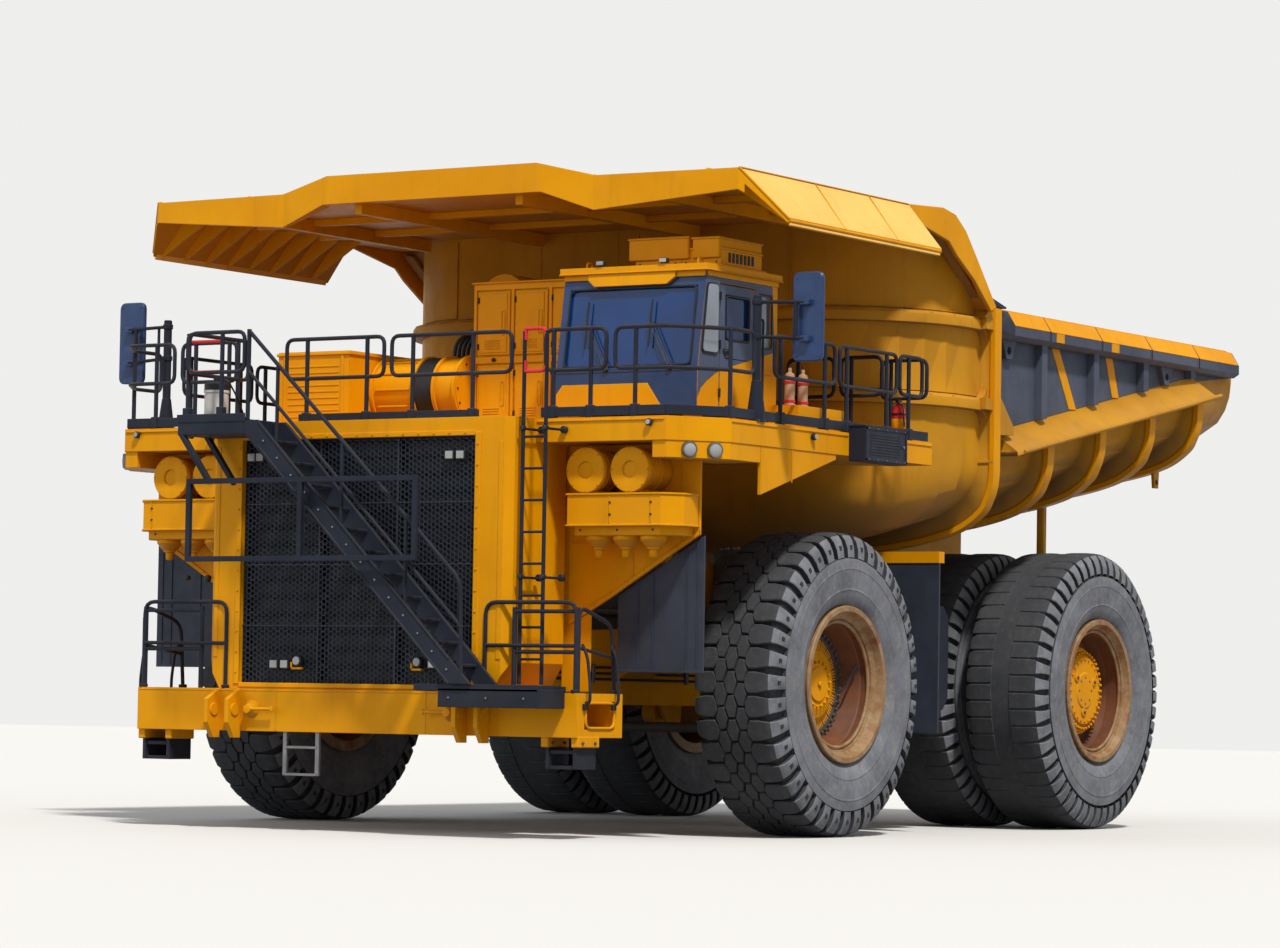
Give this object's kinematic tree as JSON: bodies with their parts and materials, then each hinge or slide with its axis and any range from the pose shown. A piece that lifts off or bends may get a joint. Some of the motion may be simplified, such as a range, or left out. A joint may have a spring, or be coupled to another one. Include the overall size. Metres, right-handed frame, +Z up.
{
  "type": "mining dump truck",
  "caption": "Rigid two-axle mining dump truck with a tipping bed under a front canopy, steered front wheels, twin rear wheels, deck cab, stairs and hoists.",
  "frame": {"origin": "on the floor under the middle of the whole truck", "axes": "+Z up, +Y towards the rear, +X towards the truck's left side"},
  "size_m": [10.08, 15.98, 7.72],
  "materials": {
    "chrome_yellow_paint": "semi-gloss, lightly weathered",
    "blue_black_paint": "semi-gloss",
    "blue_grey_paint": "semi-gloss",
    "engine_steel": "matt",
    "lamp_lens": "clear, ribbed",
    "mud_flap_rubber": "matt",
    "tinted_glass": "tinted, polished",
    "cab_trim": "matt",
    "tyre_rubber": "dusty, matt",
    "rim_paint": "dusty, rust-stained",
    "sleeve_steel": "satin",
    "rod_chrome": "polished"
  },
  "bodies": {
    "chassis": {"frame": "chrome_yellow_paint", "engine": "engine_steel", "bumper": "chrome_yellow_paint", "radiator_housing": "chrome_yellow_paint", "grille": "blue_black_paint", "deck": "chrome_yellow_paint", "fender_panels": "chrome_yellow_paint", "air_cleaners": "chrome_yellow_paint", "headlamps": "lamp_lens", "mud_flaps": "mud_flap_rubber", "stairs": "blue_black_paint", "ladder": "blue_black_paint", "deck_rails": "blue_black_paint", "bumper_walkway": "blue_black_paint", "number_frame": "blue_black_paint", "control_cabinet": "chrome_yellow_paint", "retarder": "chrome_yellow_paint", "air_duct": "chrome_yellow_paint", "side_boxes": "blue_black_paint", "mirrors": "blue_black_paint", "cab_shell": "chrome_yellow_paint", "cab_glass": "tinted_glass", "cab_interior": "cab_trim", "cab_aircon": "chrome_yellow_paint", "suspension_struts": "engine_steel", "rear_axle": "chrome_yellow_paint"},
    "door": {"cab_door": "blue_grey_paint"},
    "steering_left": {"knuckle_left": "chrome_yellow_paint"},
    "steering_right": {"knuckle_right": "chrome_yellow_paint"},
    "tie_rod": {"tie_rod": "engine_steel"},
    "wheel_front_left": {"tyre_front_left": "tyre_rubber", "rim_front_left": "rim_paint"},
    "wheel_front_right": {"tyre_front_right": "tyre_rubber", "rim_front_right": "rim_paint"},
    "wheel_rear_left": {"tyres_rear_left": "tyre_rubber", "rims_rear_left": "rim_paint"},
    "wheel_rear_right": {"tyres_rear_right": "tyre_rubber", "rims_rear_right": "rim_paint"},
    "bed": {"bed_shell": "chrome_yellow_paint", "bed_side_rails": "blue_black_paint", "bed_bolsters": "chrome_yellow_paint", "canopy": "chrome_yellow_paint"},
    "hoist_barrel": {"hoist_barrels": "chrome_yellow_paint"},
    "hoist_sleeve": {"hoist_sleeves": "sleeve_steel"},
    "hoist_rod": {"hoist_rods": "rod_chrome"}
  },
  "joints": [
    {"name": "steer_left", "type": "hinge", "parent": "chassis", "child": "steering_left", "pos_m": [2.55, -3.11, 1.78], "axis": [0, 0, 1], "range_deg": [-36, 36]},
    {"name": "steer_right", "type": "hinge", "parent": "chassis", "child": "steering_right", "pos_m": [-2.55, -3.11, 1.78], "axis": [0, 0, 1], "range_deg": [-36, 36]},
    {"name": "tie_rod_swing", "type": "hinge", "parent": "steering_left", "child": "tie_rod", "pos_m": [2.55, -2.41, 1.24], "axis": [0, 0, 1], "range_deg": [-36, 36]},
    {"name": "roll_front_left", "type": "hinge", "parent": "steering_left", "child": "wheel_front_left", "pos_m": [3.595, -3.11, 1.78], "axis": [1, 0, 0], "continuous": true},
    {"name": "roll_front_right", "type": "hinge", "parent": "steering_right", "child": "wheel_front_right", "pos_m": [-3.595, -3.11, 1.78], "axis": [1, 0, 0], "continuous": true},
    {"name": "roll_rear_left", "type": "hinge", "parent": "chassis", "child": "wheel_rear_left", "pos_m": [3, 3.24, 1.78], "axis": [1, 0, 0], "continuous": true},
    {"name": "roll_rear_right", "type": "hinge", "parent": "chassis", "child": "wheel_rear_right", "pos_m": [-3, 3.24, 1.78], "axis": [1, 0, 0], "continuous": true},
    {"name": "bed_tip", "type": "hinge", "parent": "chassis", "child": "bed", "pos_m": [0, 4.94, 3.33], "axis": [-1, 0, 0], "range_deg": [0, 45]},
    {"name": "hoist_swing", "type": "hinge", "parent": "chassis", "child": "hoist_barrel", "pos_m": [0, 1.54, 1.42], "axis": [-1, 0, 0], "range_deg": [0, 20.12]},
    {"name": "hoist_sleeve_slide", "type": "slide", "parent": "hoist_barrel", "child": "hoist_sleeve", "axis": [0, -0.1614, 0.9869], "range_m": [0, 1.3451]},
    {"name": "hoist_rod_slide", "type": "slide", "parent": "hoist_sleeve", "child": "hoist_rod", "axis": [0, -0.1614, 0.9869], "range_m": [0, 1.3451]},
    {"name": "door_swing", "type": "hinge", "parent": "chassis", "child": "door", "pos_m": [3.65, -5.308, 5.6], "axis": [0, 0, -1], "range_deg": [0, 45]}
  ],
  "couplings": [
    {"joint": "steer_right", "follows": "steer_left", "ratio": 1},
    {"joint": "tie_rod_swing", "follows": "steer_left", "ratio": -1},
    {"joint": "hoist_swing", "follows": "bed_tip", "ratio": 0.44692},
    {"joint": "hoist_sleeve_slide", "follows": "bed_tip", "m_per_rad": 1.7125},
    {"joint": "hoist_rod_slide", "follows": "bed_tip", "m_per_rad": 1.7125}
  ]
}
